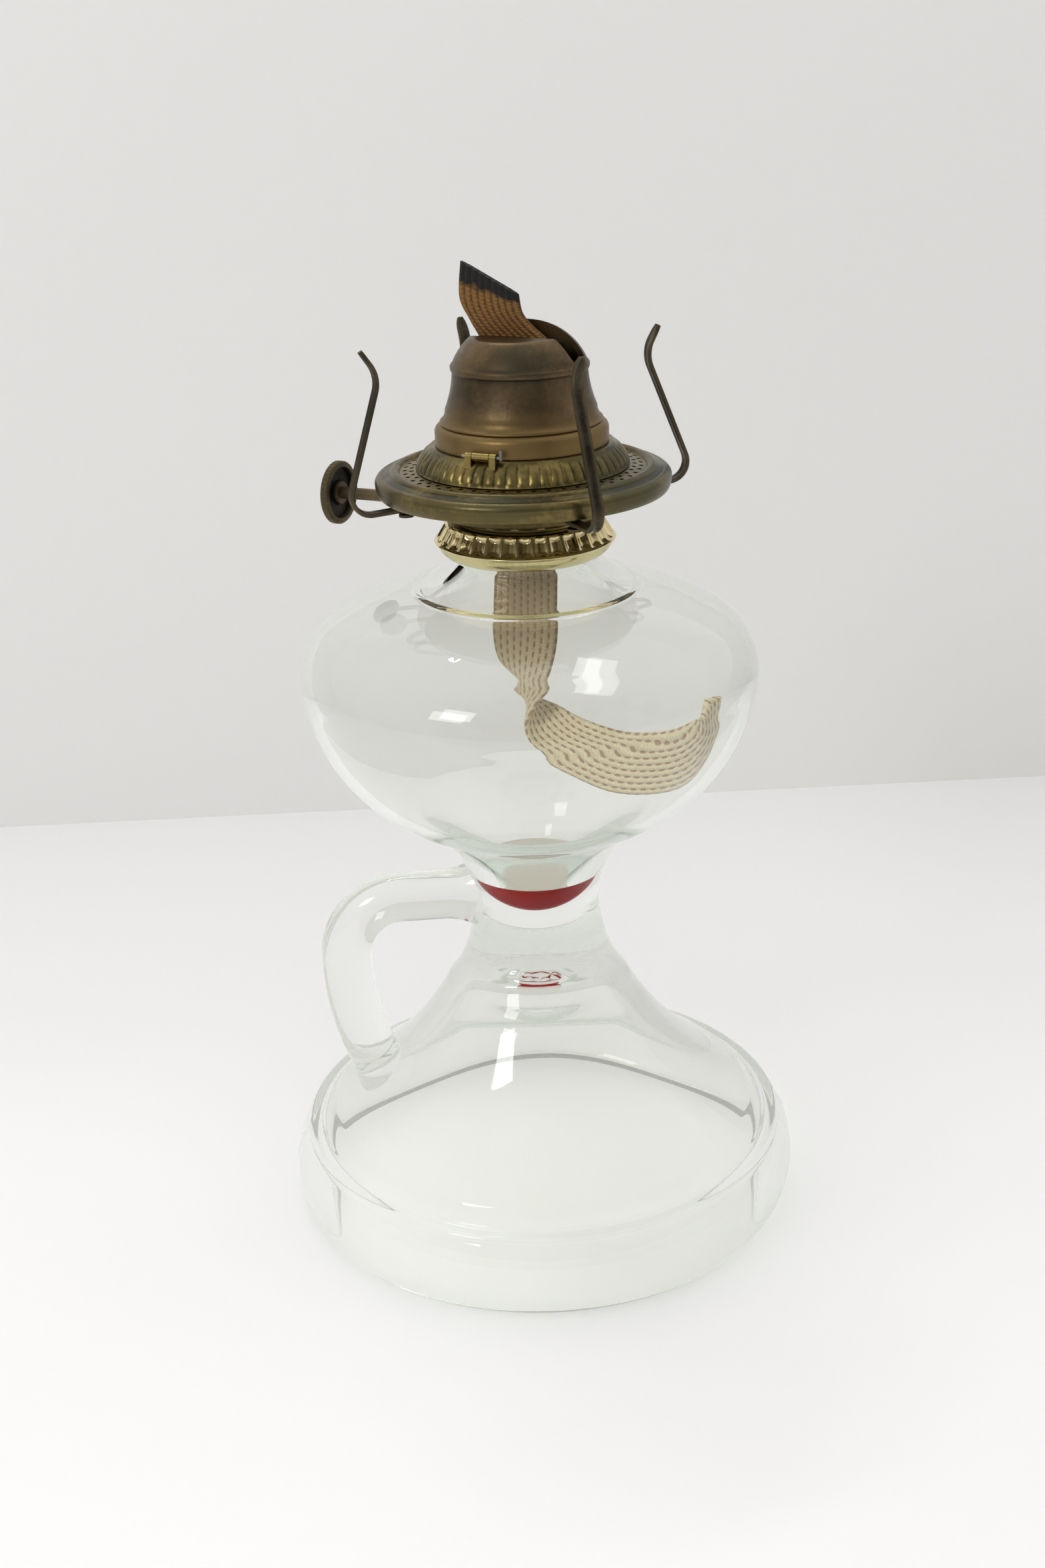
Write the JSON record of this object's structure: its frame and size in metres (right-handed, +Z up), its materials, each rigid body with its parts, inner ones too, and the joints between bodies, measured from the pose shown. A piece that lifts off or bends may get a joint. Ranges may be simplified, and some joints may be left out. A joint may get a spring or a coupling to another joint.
{
  "type": "flat-wick finger lamp",
  "caption": "Footed glass oil lamp with a finger handle and a brass flat-wick burner; the wick winds, the dome tilts, the prongs spring and the burner unscrews.",
  "frame": {"origin": "centre of the ring that the foot stands on", "axes": "+Z up along the lamp's axis, the handle towards -X, +Y to the back"},
  "size_m": [0.1262, 0.1262, 0.2303],
  "materials": {
    "glass": "clear pressed glass, very faint grey-green",
    "fuel": "clear dark red lamp oil",
    "plaster": "plaster",
    "collar_brass": "polished pale brass",
    "burner_brass": "dark aged brass with worn gold edges",
    "dome_brass": "heat-dulled brown brass",
    "steel": "dark wire",
    "winder_brass": "dark aged brass",
    "prong_brass": "dark aged spring brass",
    "wick": "woven cotton, oil-stained, burnt at its top"
  },
  "bodies": {
    "lamp": {"glass_foot_rim": "glass", "glass_foot_bell": "glass", "glass_stem": "glass", "glass_font_base": "glass", "glass_font_belly": "glass", "glass_font_shoulder": "glass", "glass_handle": "glass", "fuel_pool": "fuel", "collar": "collar_brass", "collar_plaster": "plaster"},
    "wick_tail": {"wick_tail": "wick"},
    "burner": {"screw_shell": "burner_brass", "burner_bowl": "burner_brass", "gallery": "burner_brass", "crown": "burner_brass", "air_distributor": "burner_brass", "wick_tube": "burner_brass", "spindle_bracket": "burner_brass", "vent_tube": "burner_brass", "hinge_ear_left": "burner_brass", "hinge_ear_right": "burner_brass", "prong_rivets": "burner_brass", "hinge_pin": "steel"},
    "dome": {"deflector_dome": "dome_brass", "dome_hinge_leaf": "dome_brass"},
    "winder": {"spindle": "winder_brass", "spur_wheel_left": "winder_brass", "spur_wheel_right": "winder_brass", "thumb_knob": "winder_brass"},
    "wick": {"wick_strip": "wick", "wick_tip": "wick"},
    "prong_hinge_left": {"prong_hinge_left": "prong_brass"},
    "prong_hinge_right": {"prong_hinge_right": "prong_brass"},
    "prong_back_right": {"prong_back_right": "prong_brass"},
    "prong_back_left": {"prong_back_left": "prong_brass"}
  },
  "joints": [
    {"name": "burner_lift", "type": "slide", "parent": "lamp", "child": "wick_tail", "axis": [0, 0, 1], "range_m": [0, 0.006]},
    {"name": "burner_turn", "type": "hinge", "parent": "wick_tail", "child": "burner", "pos_m": [0, 0, 0.17], "axis": [0, 0, 1], "range_deg": [0, 1080]},
    {"name": "dome_tilt", "type": "hinge", "parent": "burner", "child": "dome", "pos_m": [-0.01045, -0.0181, 0.19175], "axis": [0.866, -0.5, 0], "range_deg": [0, 92], "deforming": ["wick_tip"]},
    {"name": "wick_winder", "type": "hinge", "parent": "burner", "child": "winder", "pos_m": [-0.0029, -0.00502, 0.1774], "axis": [0.866, -0.5, 0], "range_deg": [-240, 60]},
    {"name": "wick_feed", "type": "slide", "parent": "burner", "child": "wick", "axis": [0, 0, 1], "range_m": [-0.0196, 0.0049], "deforming": ["wick_tail"]},
    {"name": "prong_hinge_left_flex", "type": "hinge", "parent": "burner", "child": "prong_hinge_left", "pos_m": [-0.0269, -0.00572, 0.1783], "axis": [0.2079, -0.9781, 0], "range_deg": [-3, 6], "stiffness_Nm_per_rad": 0.6},
    {"name": "prong_hinge_right_flex", "type": "hinge", "parent": "burner", "child": "prong_hinge_right", "pos_m": [0.0085, -0.02615, 0.1783], "axis": [0.9511, 0.309, 0], "range_deg": [-3, 6], "stiffness_Nm_per_rad": 0.6},
    {"name": "prong_back_right_flex", "type": "hinge", "parent": "burner", "child": "prong_back_right", "pos_m": [0.0269, 0.00572, 0.1783], "axis": [-0.2079, 0.9781, 0], "range_deg": [-3, 6], "stiffness_Nm_per_rad": 0.6},
    {"name": "prong_back_left_flex", "type": "hinge", "parent": "burner", "child": "prong_back_left", "pos_m": [-0.0085, 0.02615, 0.1783], "axis": [-0.9511, -0.309, 0], "range_deg": [-3, 6], "stiffness_Nm_per_rad": 0.6}
  ],
  "couplings": [
    {"joint": "burner_lift", "follows": "burner_turn", "m_per_rad": 0.000318},
    {"joint": "wick_feed", "follows": "wick_winder", "m_per_rad": 0.00465}
  ]
}
